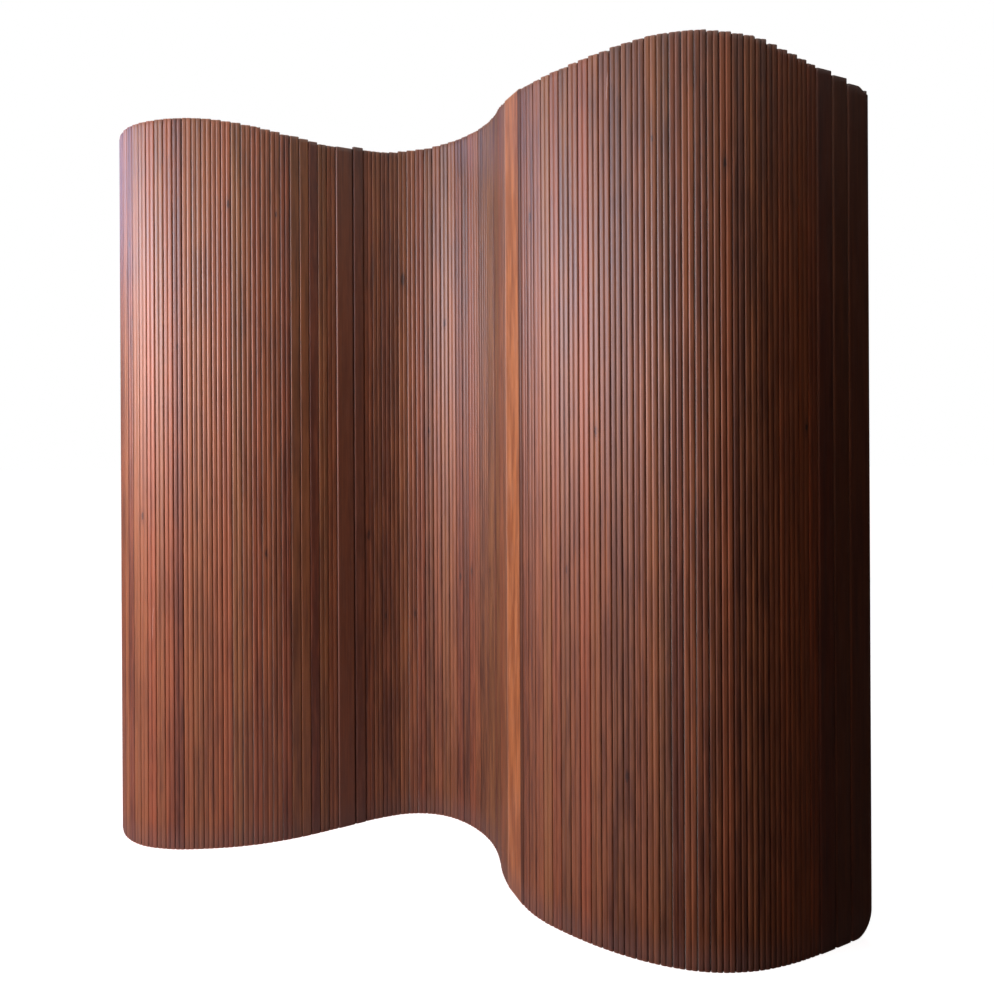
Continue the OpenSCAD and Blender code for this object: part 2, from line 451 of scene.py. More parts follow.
def section_of(kind, width, thickness):
    """Closed outline: (across, through) points, and for each how much it is a crown, 0 to 1."""
    corner = BOARD_CORNER if kind == "board" else SLAT_CORNER
    stations = face_stations(width, corner, REEDED_STEPS if kind == "slat" else PLAIN_STEPS)
    height = corner_height(stations, width, thickness, corner)
    if kind == "slat":
        height = np.minimum(height, reed_height(stations, width, thickness))
        crowned = np.clip((height - thickness / 2 + GROOVE) / GROOVE, 0, 1)
    else:
        crowned = np.clip(1 - (thickness / 2 - height) / (corner * BOARD_CROWN), 0, 1)
    side = width / 2
    half_turn = np.linspace(-90, 90, BEAD_STEPS + 2)
    bead_across = side - BEAD_SHY + BEAD * np.cos(np.radians(half_turn))
    bead_through = BEAD * np.sin(np.radians(half_turn))
    front = np.stack([stations, -height], 1)
    right_edge = np.stack([bead_across, bead_through], 1)
    back = np.stack([stations[::-1], height[::-1]], 1)
    left_edge = np.stack([-bead_across, -bead_through], 1)
    outline = np.concatenate([front, right_edge, back, left_edge])
    none = np.zeros(len(right_edge))
    crown = np.concatenate([crowned, none, crowned[::-1], none])
    return outline, crown


first_slat = layout["slats_01"][0]
slat_outline = section_of("slat", first_slat["width"], first_slat["thickness"])[0]
print("a slat's outline has", len(slat_outline), "points, and its beads stand",
      round((BEAD - BEAD_SHY) / MM, 2), "mm proud")


# %% [markdown]
# ## From section to slat
# A real slat isn't perfect. Its thickness wanders by a few tenths of a millimetre, its crowns are
# flattened by years of rolling up, its ends are rounded by the floor, and a few corners are
# chipped. All of this takes wood away, so the piece stays inside the model's solid, all but its
# beads. The mesh also carries the piece's own coordinates and its lot of tone, so a finish can
# follow the piece when it folds.

# %% Make a piece
END_ROUND = 0.7 * MM
RING_SPACING = 0.07
END_CLEAR = 0.012
CHIP_CLEAR = 0.005
FOOT_ROUND = 50 * MM
FOOT_SIDES = {"left_end_stile": -1, "right_end_stile": 1}
FACE_WANDER = 0.16 * MM
WEAR_WANDER = 0.14 * MM
CROWN_GAIN = 3
SUNK_AT_BACK = 0.4
WORN_AT_FRONT = 1.2
NOTCH_SHAPE = 0.7
NOTCH_AT_BACK = 0.2
WAVES = ((3.1, 0.5), (7.3, 0.3), (15.1, 0.2))
SEED = 26
chance = np.random.default_rng(SEED)


def ring_heights(top, foot_side, deepest_chip=0.0):
    """Heights of the rings: three for each rounded end, evenly spaced between."""
    low = [0, 0.3 * END_ROUND, END_ROUND]
    high = [top - END_ROUND, top - 0.3 * END_ROUND, top]
    start = END_CLEAR
    if foot_side:
        low += (FOOT_ROUND * (1 - np.cos(np.radians(np.arange(14, 91, 7))))).tolist()
        start = FOOT_ROUND + RING_SPACING / 2
    stop = top - max(END_CLEAR, deepest_chip + CHIP_CLEAR)
    inner = np.linspace(start, stop, max(2, int((top - start) / RING_SPACING)))
    return np.concatenate([low, inner, high])


def round_foot(across, heights, width, side):
    """Draws the lower outer corner of an end stile in to a quarter circle."""
    straight = width / 2 - FOOT_ROUND
    share = np.clip((across * side - straight) / FOOT_ROUND, 0, None)
    under = np.clip(FOOT_ROUND - np.maximum(heights, 0.02 * MM), 0, None)
    reach = np.sqrt(FOOT_ROUND ** 2 - under ** 2)
    return np.where(share > 0, side * (straight + share * reach), across)


def wander(heights, size, lot):
    """A slow wave along a piece, from 0 to size."""
    waves = sum(np.sin(heights * pace + lot.uniform(0, 6.28)) * share for pace, share in WAVES)
    return size * (0.5 + 0.5 * waves)


def make_piece(kind, piece, character, lot):
    """Vertices, faces and carried values of one slat or board."""
    outline, crown = section_of(kind, piece["width"], piece["thickness"])
    foot_side = piece.get("foot_side", 0)
    deepest = max([depth for spot, reach, depth in character["chips"]], default=0.0)
    heights = ring_heights(piece["top"], foot_side, deepest)
    rings, points = len(heights), len(outline)
    across = np.tile(outline[:, 0], (rings, 1))
    through = np.tile(outline[:, 1], (rings, 1))
    crown_all = np.tile(crown, (rings, 1))
    up = np.tile(heights[:, None], (1, points))
    front = through < 0
    sunk = character["sunk"] * MM + wander(heights, FACE_WANDER, lot)[:, None]
    worn = wander(heights, WEAR_WANDER, lot)[:, None]
    half = piece["thickness"] / 2
    faced = np.clip(crown_all * CROWN_GAIN, 0, 1)
    through = np.where(front, through + sunk * faced, through - SUNK_AT_BACK * sunk * faced)
    flat = half - sunk - worn * WORN_AT_FRONT
    through = np.where(front, np.maximum(through, -flat), np.minimum(through, half - worn))
    inset = np.zeros(rings)
    inset[[0, -1]] = END_ROUND
    inset[[1, -2]] = 0.35 * END_ROUND
    shrink_across = 1 - inset[:, None] / (piece["width"] / 2)
    shrink_through = 1 - inset[:, None] / half
    across = across * shrink_across
    through = through * shrink_through
    if foot_side:
        across = round_foot(across, up, piece["width"], foot_side)
    for spot, reach, depth in character["chips"]:
        beside = np.abs(outline[:, 0] - spot * piece["width"] / 2)
        notch = np.clip(1 - beside / reach, 0, 1) ** NOTCH_SHAPE
        notch = notch * np.where(outline[:, 1] < 0, 1, NOTCH_AT_BACK)
        up[-3:] -= notch[None, :] * depth
    flat_place = (piece["middle"] + across[..., None] * piece["along"]
                  + through[..., None] * piece["back"])
    vertices = np.concatenate([flat_place, up[..., None]], -1).reshape(-1, 3)
    index = np.arange(rings * points).reshape(rings, points)
    low, high = index[:-1], index[1:]
    sides = np.stack([low, np.roll(low, -1, 1), np.roll(high, -1, 1), high], -1).reshape(-1, 4)
    faces = [tuple(face) for face in sides.tolist()]
    faces.append(tuple(index[0][::-1].tolist()))
    faces.append(tuple(index[-1].tolist()))
    count = len(vertices)
    carried = {
        "place": np.stack([across.ravel(), through.ravel(), up.ravel()], 1),
        "crown": crown_all.ravel(),
        "below_top": piece["top"] - up.ravel(),
        "lot": np.tile([character["tone"], character["warmth"], character["seed"]], (count, 1)),
        "knot": np.tile(character["knot"], (count, 1)),
        "edges": np.tile(character["edges"], (count, 1)),
        "scratch": np.tile(character["scratch"], (count, 1)),
    }
    return vertices, faces, carried


print("rings along a slat:", len(ring_heights(1.69, 0)))

# %% [markdown]
# ## The character of each piece
# No two slats took the stain alike. Each piece draws its lot: how dark it is, how red or yellow,
# how far its face lies below the highest, whether it has a knot, and whether a corner of its top
# is chipped. Some groups of slats are lighter or darker as a whole, and some single pieces are
# well known on this screen. Both are listed by name.

# %% Draw the lots
LOT_SPREAD = 0.4
DEEPEST_FACE = 0.45
KNOTTY_SHARE = 0.22
CHIPPED_SHARE = 0.15
NO_KNOT = (0.0, -1.0, 0.0)
NO_EDGES = (-1.0, 1.0, 0.0)
NO_SCRATCH = (0.0, -1.0, 0.0)
# Tones of some groups of slats. The darker tones of slats_17 to slats_19 are partly painted shade,
# standing in for the weaker sheen on that stretch of the wave.
group_tone_and_painted_shade = {
    "slats_01": 0.4, "slats_02": 0.6, "slats_03": 0.6, "slats_04": 0.45, "slats_05": 0.25,
    "slats_07": -0.25, "slats_08": -0.25, "slats_15": 0.5, "slats_16": 0.2, "slats_17": -0.35,
    "slats_18": -0.45, "slats_19": -0.2, "slats_21": 0.5,
}
known_pieces = {
    ("slats_02", 3): {"scratch": (2 * MM, 0.53, 0.045)},
    ("slats_03", 2): {"tone": -0.75, "warmth": -0.8},
    ("slats_05", 2): {"chips": [(0.6, 5 * MM, 3 * MM)]},
    ("smooth_slats", 0): {"tone": -0.1, "sunk": 0.2},
    ("smooth_slats", 2): {"tone": -0.9, "warmth": -1.0, "sunk": 0.45},
    # The edges entries place a painted highlight at a board's left edge and painted shade at its
    # right.
    ("valley_board", 0): {"tone": 0.35, "edges": (-19 * MM, 18.5 * MM, 0.0)},
    ("narrow_board", 0): {"tone": -0.6},
    ("slats_09", 0): {"knot": (0.0, 1.365, 0.9), "sunk": 0.3},
    ("broad_board", 0): {"edges": (-34 * MM, 29 * MM, 0.0)},
    ("slats_12", 0): {"tone": -0.2, "warmth": 0.6},
    ("slats_12", 1): {"tone": 0.0, "warmth": 1.0},
    ("slats_12", 2): {"tone": 0.1, "warmth": 1.0},
    ("slats_13", 0): {"tone": 0.0, "warmth": 1.0},
    ("slats_13", 1): {"tone": 0.0, "warmth": 1.0},
    ("slats_15", 1): {"knot": (1 * MM, 1.42, 0.6)},
    ("slats_17", 1): {"chips": [(0.9, 6 * MM, 4 * MM)], "scratch": (7 * MM, 1.64, 0.03)},
    ("slats_18", 3): {"tone": -0.8, "warmth": -0.4},
    ("right_boards", 0): {"tone": -0.3},
    ("right_boards", 1): {"tone": 0.1},
    ("right_end_stile", 0): {"tone": 0.0, "chips": [(1.0, 26 * MM, 14 * MM)]},
}


def draw_character(name, number, kind):
    """The lot of one piece."""
    tone = float(np.clip(chance.normal(group_tone_and_painted_shade.get(name, 0.0), LOT_SPREAD), -1, 1))
    warmth = float(np.clip(chance.normal(0, LOT_SPREAD), -1, 1))
    sunk = float(chance.uniform(0, DEEPEST_FACE)) if kind != "board" else 0.0
    knot = NO_KNOT
    has_knot, knot_side, knot_height, knot_size = chance.uniform(0, 1, 4)
    if kind == "slat" and has_knot < KNOTTY_SHARE:
        knot = ((knot_side - 0.5) * 12 * MM, 0.15 + 1.4 * knot_height, 0.25 + 0.4 * knot_size)
    chips = []
    chip_draw, chip_side, chip_depth = chance.uniform(0, 1, 3)
    if kind == "slat" and chip_draw < CHIPPED_SHARE:
        chips = [(1 if chip_side < 0.5 else -1, 4 * MM, (0.8 + 1.6 * chip_depth) * MM)]
    seed = float(chance.uniform(0, 50))
    character = {"tone": tone, "warmth": warmth, "sunk": sunk, "knot": knot, "chips": chips,
                 "seed": seed, "edges": NO_EDGES, "scratch": NO_SCRATCH}
    character.update(known_pieces.get((name, number), {}))
    return character


print("pieces with a known character:", len(known_pieces))

# %% [markdown]
# ## Wood figure
# Stained softwood shows three things at once: fine pores drawn out along the slat, broader
# streaks where the stain sank in deeper, and slow clouds of tone. One node group makes all three
# from the piece's own coordinates, and each material weighs them in its own way.

# %% Wood figure group
PORE_STRETCH = (3.6, 3.6, 9.0)
CLOUDS_ACROSS = 75.0
CLOUDS_ALONG = 6.0
figure, entry, result = new_group(
    "wood figure",
    [("Place", VECTOR, None), ("Seed", FLOAT, 0.0), ("Streak Width", FLOAT, 0.0022),
     ("Streak Length", FLOAT, 0.35)],
    [("Streaks", FLOAT), ("Pores", FLOAT), ("Clouds", FLOAT), ("Height", FLOAT)])
tree = figure
split = place_node(tree, "ShaderNodeSeparateXYZ", {"Vector": entry.outputs["Place"]})
shift = maths(tree, "MULTIPLY", entry.outputs["Seed"], 7.31)
stretched = place_node(tree, "ShaderNodeCombineXYZ", {
    "X": maths(tree, "ADD", maths(
        tree, "DIVIDE", split.outputs[0], entry.outputs["Streak Width"]), shift),
    "Y": maths(tree, "DIVIDE", split.outputs[1], entry.outputs["Streak Width"]),
    "Z": maths(tree, "DIVIDE", split.outputs[2], entry.outputs["Streak Length"])})
streaks = noise(tree, stretched.outputs[0], 1.0, detail=3.0, roughness=0.55, distortion=0.15)
fine = vector_maths(tree, "MULTIPLY", stretched.outputs[0], PORE_STRETCH)
pores = noise(tree, fine, 1.0, detail=2.0, roughness=0.6)
slow = place_node(tree, "ShaderNodeCombineXYZ", {
    "X": maths(tree, "ADD", maths(tree, "MULTIPLY", split.outputs[0], CLOUDS_ACROSS), shift),
    "Y": maths(tree, "MULTIPLY", shift, 0.61),
    "Z": maths(tree, "MULTIPLY", split.outputs[2], CLOUDS_ALONG)})
clouds = noise(tree, slow.outputs[0], 1.0, detail=3.0, roughness=0.6)
fill(tree, result.inputs["Streaks"], ramp(tree, streaks, 0.32, 0.68))
fill(tree, result.inputs["Pores"], ramp(tree, pores, 0.35, 0.65))
fill(tree, result.inputs["Clouds"], ramp(tree, clouds, 0.3, 0.7))
fill(tree, result.inputs["Height"], maths(
    tree, "ADD", maths(tree, "MULTIPLY", streaks, 0.6), maths(tree, "MULTIPLY", pores, 0.4)))
print("group made:", figure.name)

# %% [markdown]
# ## Knots
# A knot is a dark eye with the grain flowing round it. Each piece carries the place and size of
# its knot, so the group only measures the distance from there, with a little noise on the rim.

# %% Knot group
EYE_HALF_WIDTH = 0.0075
EYE_HALF_HEIGHT = 0.024
RIM_RAGGED = 0.7
knots, entry, result = new_group(
    "knot", [("Place", VECTOR, None), ("Knot", VECTOR, None)], [("Eye", FLOAT), ("Halo", FLOAT)])
tree = knots
spot = place_node(tree, "ShaderNodeSeparateXYZ", {"Vector": entry.outputs["Knot"]})
here = place_node(tree, "ShaderNodeSeparateXYZ", {"Vector": entry.outputs["Place"]})
rim = noise(tree, entry.outputs["Place"], 260.0, detail=2.0)
aside = maths(tree, "SUBTRACT", here.outputs[0], spot.outputs[0])
aside = maths(tree, "DIVIDE", aside, EYE_HALF_WIDTH)
above = maths(tree, "SUBTRACT", here.outputs[2], spot.outputs[1])
above = maths(tree, "DIVIDE", above, EYE_HALF_HEIGHT)
far = maths(tree, "SQRT", maths(
    tree, "ADD", maths(tree, "POWER", maths(tree, "ABSOLUTE", aside), 2.0),
    maths(tree, "POWER", maths(tree, "ABSOLUTE", above), 2.0)))
ragged = maths(tree, "MULTIPLY", maths(tree, "SUBTRACT", rim, 0.5), RIM_RAGGED)
rough_far = maths(tree, "ADD", far, ragged)
size = maths(tree, "MAXIMUM", spot.outputs[2], 0.0001)
scaled = maths(tree, "DIVIDE", rough_far, size)
present = maths(tree, "GREATER_THAN", spot.outputs[2], 0.01)
fill(tree, result.inputs["Eye"], maths(tree, "MULTIPLY", ramp(tree, scaled, 1.05, 0.45), present))
fill(tree, result.inputs["Halo"], maths(tree, "MULTIPLY", ramp(tree, scaled, 2.6, 0.9), present))
print("group made:", knots.name)

# %% [markdown]
# ## Scratches
# A scratch through the varnish is a thin pale line, a little aslant. It is carried in the same
# way as a knot: its place across, its height, and its length. A board can also carry a pale edge at
# its left, which is a painted highlight, and a dark edge at its right, which is painted shade in
# the gap to its neighbour.

# %% Scratch group
SLANT = 0.05
SHAKE = 0.004
scratches, entry, result = new_group(
    "scratch", [("Place", VECTOR, None), ("Scratch", VECTOR, None)], [("Line", FLOAT)])
tree = scratches
spot = place_node(tree, "ShaderNodeSeparateXYZ", {"Vector": entry.outputs["Scratch"]})
here = place_node(tree, "ShaderNodeSeparateXYZ", {"Vector": entry.outputs["Place"]})
rise = maths(tree, "SUBTRACT", here.outputs[2], spot.outputs[1])
unsteady = maths(tree, "SUBTRACT", noise(tree, entry.outputs["Place"], 90.0), 0.5)
shake = maths(tree, "MULTIPLY", unsteady, SHAKE)
middle = maths(tree, "ADD", maths(tree, "MULTIPLY", rise, SLANT), shake)
off = maths(tree, "ABSOLUTE", maths(tree, "SUBTRACT", maths(
    tree, "SUBTRACT", here.outputs[0], spot.outputs[0]), middle))
within = ramp(tree, maths(tree, "DIVIDE", maths(tree, "ABSOLUTE", rise), maths(
    tree, "MAXIMUM", spot.outputs[2], 0.0001)), 1.0, 0.6)
fill(tree, result.inputs["Line"], maths(tree, "MULTIPLY", ramp(tree, off, 0.0008, 0.0003), within))
print("group made:", scratches.name)

# %% [markdown]
# ## Wear and painted light
# Hands, the floor and rolling up leave three marks: crowns rubbed paler in patches, dust and old
# wax in the grooves, and scuffed grey ends where the screen was pushed over floors. The paler
# crowns are also a painted highlight along each reed. The mask of the grooves also takes in the
# gaps between slats, and the darkening there is also painted shade.

# %% Wear group
SCUFFED_TO = 0.075
SCUFFED_FULLY = 0.002
wear_and_painted_light, entry, result = new_group(
    "wear_and_painted_light",
    [("Place", VECTOR, None), ("Crown", FLOAT, 0.0), ("Below Top", FLOAT, 1.0),
     ("Seed", FLOAT, 0.0)],
    [("Rubbed And Highlight", FLOAT), ("Groove", FLOAT), ("Scuffed", FLOAT), ("End", FLOAT)])
tree = wear_and_painted_light
here = place_node(tree, "ShaderNodeSeparateXYZ", {"Vector": entry.outputs["Place"]})
shift = maths(tree, "MULTIPLY", entry.outputs["Seed"], 3.77)
patch_place = place_node(tree, "ShaderNodeCombineXYZ", {
    "X": maths(tree, "ADD", maths(tree, "MULTIPLY", here.outputs[0], 90.0), shift),
    "Y": maths(tree, "MULTIPLY", here.outputs[1], 90.0),
    "Z": maths(tree, "MULTIPLY", here.outputs[2], 14.0)})
patches = noise(tree, patch_place.outputs[0], 1.0, detail=4.0, roughness=0.65)
on_crown = ramp(tree, entry.outputs["Crown"], 0.55, 1.0)
# Rubbed: paler patches on the crowns, rubbed varnish and also a painted highlight along the reeds.
fill(tree, result.inputs["Rubbed And Highlight"], maths(
    tree, "MULTIPLY", on_crown, ramp(tree, patches, 0.42, 0.75)))
# Groove: the grooves and the gaps between pieces, darkened later partly as dust, partly as painted
# shade.
fill(tree, result.inputs["Groove"], ramp(tree, entry.outputs["Crown"], 0.28, 0.0))
scuff_noise = maths(tree, "MULTIPLY", maths(tree, "SUBTRACT", patches, 0.5), 0.05)
height = maths(tree, "ADD", here.outputs[2], scuff_noise)
fill(tree, result.inputs["Scuffed"], ramp(tree, height, SCUFFED_TO, SCUFFED_FULLY))
end_low = ramp(tree, here.outputs[2], 0.006, 0.0)
end_high = ramp(tree, entry.outputs["Below Top"], 0.004, 0.0)
fill(tree, result.inputs["End"], maths(tree, "MAXIMUM", end_low, end_high))
print("group made:", wear_and_painted_light.name)


# %% [markdown]
# ## Wood finishes
# All the wood is stained and varnished, and differs in its colours and in how strongly the figure
# shows. One recipe makes each finish: it reads the piece's coordinates and lots, mixes a dark and
# a light stain by tone and figure, adds the marks, and gives the varnish its satin gloss. Among the
# marks are painted shade in the grooves and at some board edges, and painted highlights on the
# crowns and at other board edges.

# %% Wood finish recipe
RUBBED_AND_HIGHLIGHT_SHARE = 0.22
HALO_SHARE = 0.35
EYE_SHARE = 0.9
EDGE_FADE = 0.0015
PAINTED_HIGHLIGHT_EDGE_SHARE = 0.75
PAINTED_SHADE_EDGE_SHARE = 0.85
LEAST_DUST_AND_SHADE, MOST_DUST_AND_SHADE = 0.05, 0.32
SCRATCH_SHARE = 0.7
SCUFFED_SHARE = 0.45
END_SHARE = 0.6
COAT_WORN_OFF = 0.9
GROOVE_DUST_AND_SHADE = (0.045, 0.014, 0.007, 1)
SCRATCHED = (0.7, 0.6, 0.55, 1)
SCUFFED_GREY = (0.16, 0.115, 0.115, 1)


def wood_finish(title, dark, light, warm_shift, pale_wear_and_highlight, figure_share, streak, gloss,
                knot_colour):
    """A stained and varnished wood. The shares are of streaks, clouds, pores and tone."""
    material = bpy.data.materials.new(title)
    material.use_nodes = True
    tree = material.node_tree
    shader = tree.nodes["Principled BSDF"]
    place = place_node(tree, "ShaderNodeAttribute", attribute_name="place").outputs["Vector"]
    lot_node = place_node(tree, "ShaderNodeAttribute", attribute_name="lot")
    lot = place_node(tree, "ShaderNodeSeparateXYZ", {"Vector": lot_node.outputs["Vector"]})
    tone, warmth, seed = lot.outputs[0], lot.outputs[1], lot.outputs[2]
    crown = place_node(tree, "ShaderNodeAttribute", attribute_name="crown").outputs["Fac"]
    below = place_node(tree, "ShaderNodeAttribute", attribute_name="below_top").outputs["Fac"]
    knot = place_node(tree, "ShaderNodeAttribute", attribute_name="knot").outputs["Vector"]
    grain = use_group(tree, figure, {"Place": place, "Seed": seed, "Streak Width": streak[0],
                                     "Streak Length": streak[1]})
    marks = use_group(tree, wear_and_painted_light, {
        "Place": place, "Crown": crown, "Below Top": below, "Seed": seed})
    eye = use_group(tree, knots, {"Place": place, "Knot": knot})

    streak_share, cloud_share, pore_share, tone_share = figure_share
    weight = maths(tree, "ADD", 0.5, maths(tree, "MULTIPLY", tone, tone_share))
    for output, share in (("Streaks", streak_share), ("Clouds", cloud_share),
                          ("Pores", pore_share)):
        centred = maths(tree, "SUBTRACT", grain.outputs[output], 0.5)
        weight = maths(tree, "ADD", weight, maths(tree, "MULTIPLY", centred, share))
    weight = maths(tree, "ADD", weight, 0.0, clamp=True)
    colour = blend_colours(tree, weight, dark, light)
    warm = maths(tree, "ADD", 0.5, maths(tree, "MULTIPLY", warmth, 0.5), clamp=True)
    tint = blend_colours(tree, warm, warm_shift[0], warm_shift[1])
    colour = blend_colours(tree, 1.0, colour, tint, "MULTIPLY")
    # Crowns paler in patches: rubbed varnish, and also a painted highlight along the reeds.
    rubbed_and_highlit = maths(tree, "MULTIPLY", marks.outputs["Rubbed And Highlight"], RUBBED_AND_HIGHLIGHT_SHARE)
    colour = blend_colours(tree, rubbed_and_highlit, colour, pale_wear_and_highlight)
    eye_share = maths(tree, "MULTIPLY", eye.outputs["Halo"], HALO_SHARE)
    colour = blend_colours(tree, eye_share, colour, dark)
    eye_share = maths(tree, "MULTIPLY", eye.outputs["Eye"], EYE_SHARE)
    colour = blend_colours(tree, eye_share, colour, knot_colour)
    edges = place_node(tree, "ShaderNodeAttribute", attribute_name="edges").outputs["Vector"]
    edges = place_node(tree, "ShaderNodeSeparateXYZ", {"Vector": edges})
    across = place_node(tree, "ShaderNodeSeparateXYZ", {"Vector": place}).outputs[0]
    # A pale stripe at a board's left edge: a painted highlight.
    painted_highlight_edge = ramp(tree, maths(tree, "SUBTRACT", across, edges.outputs[0]),
                     0.0, -EDGE_FADE, 0.0, PAINTED_HIGHLIGHT_EDGE_SHARE)
    colour = blend_colours(tree, painted_highlight_edge, colour, pale_wear_and_highlight)
    # A dark stripe at a board's right edge: painted shade in the gap.
    painted_shade_edge = ramp(tree, maths(tree, "SUBTRACT", across, edges.outputs[1]),
                     0.0, EDGE_FADE, 0.0, PAINTED_SHADE_EDGE_SHARE)
    scratch = place_node(tree, "ShaderNodeAttribute", attribute_name="scratch").outputs["Vector"]
    scratch = use_group(tree, scratches, {"Place": place, "Scratch": scratch}).outputs["Line"]
    # Grooves and gaps between slats darkened: partly dust, partly painted shade.
    dust_and_shade = ramp(tree, grain.outputs["Clouds"], 0.1, 0.9, MOST_DUST_AND_SHADE, LEAST_DUST_AND_SHADE)
    dusty_and_shaded = maths(tree, "MULTIPLY", marks.outputs["Groove"], dust_and_shade)
    colour = blend_colours(tree, maths(tree, "MAXIMUM", dusty_and_shaded, painted_shade_edge), colour, GROOVE_DUST_AND_SHADE)
    scratched = maths(tree, "MULTIPLY", scratch, SCRATCH_SHARE)
    colour = blend_colours(tree, scratched, colour, SCRATCHED)
    scuffed = maths(tree, "MULTIPLY", marks.outputs["Scuffed"], SCUFFED_SHARE)
    colour = blend_colours(tree, scuffed, colour, SCUFFED_GREY)
    end_share = maths(tree, "MULTIPLY", marks.outputs["End"], END_SHARE)
    colour = blend_colours(tree, end_share, colour, pale_wear_and_highlight)
    fill(tree, shader.inputs["Base Color"], colour)

    rough = maths(tree, "ADD", gloss, maths(tree, "MULTIPLY", grain.outputs["Clouds"], 0.08))
    rough = maths(tree, "ADD", rough, maths(tree, "MULTIPLY", marks.outputs["Groove"], 0.25))
    rough = maths(tree, "ADD", rough, maths(tree, "MULTIPLY", marks.outputs["Scuffed"], 0.2))
    fill(tree, shader.inputs["Roughness"], rough)
    shader.inputs["Specular IOR Level"].default_value = 0.9
    bare = maths(tree, "MAXIMUM", marks.outputs["Groove"], painted_shade_edge)
    worn_off = maths(tree, "MULTIPLY", bare, COAT_WORN_OFF)
    fill(tree, shader.inputs["Coat Weight"], maths(tree, "SUBTRACT", 1.0, worn_off))
    shader.inputs["Coat IOR"].default_value = 1.6
    shader.inputs["Coat Roughness"].default_value = 0.45
    bump = place_node(tree, "ShaderNodeBump", {"Strength": 0.35, "Distance": 0.0004,
                                               "Height": grain.outputs["Height"]})
    fill(tree, shader.inputs["Normal"], bump.outputs["Normal"])
    return material


RED_STAIN = ((1.07, 0.88, 0.86, 1), (0.95, 1.17, 1.05, 1))
stained_finish = wood_finish(
    "stained slats", (0.088, 0.028, 0.010, 1), (0.35, 0.145, 0.053, 1), RED_STAIN,
    (0.44, 0.23, 0.15, 1), (0.42, 0.6, 0.2, 0.42), (0.0022, 0.30), 0.52, (0.015, 0.005, 0.004, 1))
dark_finish = wood_finish(
    "dark boards", (0.070, 0.020, 0.008, 1), (0.225, 0.08, 0.030, 1), RED_STAIN,
    (0.30, 0.19, 0.14, 1), (0.35, 0.5, 0.2, 0.3), (0.0030, 0.45), 0.52, (0.015, 0.005, 0.004, 1))
honey_finish = wood_finish(
    "honey board", (0.32, 0.145, 0.042, 1), (0.62, 0.34, 0.110, 1), RED_STAIN,
    (0.72, 0.50, 0.34, 1), (0.3, 0.9, 0.15, 0.1), (0.0045, 0.12), 0.5, (0.10, 0.035, 0.015, 1))
print("finishes:", stained_finish.name, dark_finish.name, honey_finish.name)


# %% [markdown]
# ## Slats and boards
# Now every wooden node of the model gets its dressed piece. It replaces the plain solid, rides on
# the same body, and takes the finish of its kind: dark boards, the honey board or stained slats.

# %% Dress the wooden nodes
def body_with(name):
    for body, members in frame["record"]["behaviour"]["bodies"].items():
        if name in members:
            return body
    return "root"


def carry(mesh, title, kind, values):
    layer = mesh.attributes.new(title, kind, "POINT")
    numbers = np.ascontiguousarray(values, np.float32).ravel()
    layer.data.foreach_set("value" if kind == "FLOAT" else "vector", numbers)


CARRIED_VECTORS = ("place", "lot", "knot", "edges", "scratch")
CARRIED_NUMBERS = ("crown", "below_top")


def carry_all(mesh, blocks):
    """Puts the carried values of one or more pieces on a mesh."""
    for title in CARRIED_VECTORS:
        carry(mesh, title, "FLOAT_VECTOR", np.concatenate([block[title] for block in blocks]))
    for title in CARRIED_NUMBERS:
        carry(mesh, title, "FLOAT", np.concatenate([block[title] for block in blocks]))


SHARP = math.radians(38)
dressed = {}
for name in sorted(layout):
    kind = kind_of(name)
    all_vertices, all_faces, all_carried = [], [], []
    for number, piece in enumerate(layout[name]):
        piece["foot_side"] = FOOT_SIDES.get(name, 0)
        character = draw_character(name, number, kind)
        vertices, faces, carried = make_piece(kind, piece, character, chance)
        offset = sum(len(block) for block in all_vertices)
        all_vertices.append(vertices)
        all_faces += [tuple(corner + offset for corner in face) for face in faces]
        all_carried.append(carried)
    mesh = bpy.data.meshes.new("dressed_" + name)
    mesh.from_pydata(np.concatenate(all_vertices).tolist(), [], all_faces)
    carry_all(mesh, all_carried)
    mesh.shade_smooth()
    mesh.set_sharp_from_angle(angle=SHARP)
    wood = bpy.data.objects.new("dressed_" + name, mesh)
    scene.collection.objects.link(wood)
    finish = dark_finish if kind == "board" else stained_finish
    slot_name = "dark_boards" if kind == "board" else "stained_slats"
    if name == "broad_board":
        finish, slot_name = honey_finish, "honey_board"
    mesh.materials.append(finish)
    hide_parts(name)
    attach(wood, body_with(name))
    dressed[name] = wood
vertex_count = sum(len(wood.data.vertices) for wood in dressed.values())
print("dressed", len(dressed), "nodes,", vertex_count, "vertices")

# %% [markdown]
# ## Pockets for the cable ends
# Each cable ends in a ferrule that sits in a round pocket, drilled in the outer edge of its end
# stile. The model's ferrules say where the pockets are. A row of cylinders is cut out of the
# dressed stile with a Boolean modifier, and the result becomes the stile's mesh.

# %% Drill the pockets
POCKET_RADIUS = 3.1 * MM
PAST_EDGE = 2 * MM
DRILL_SIDES = 32


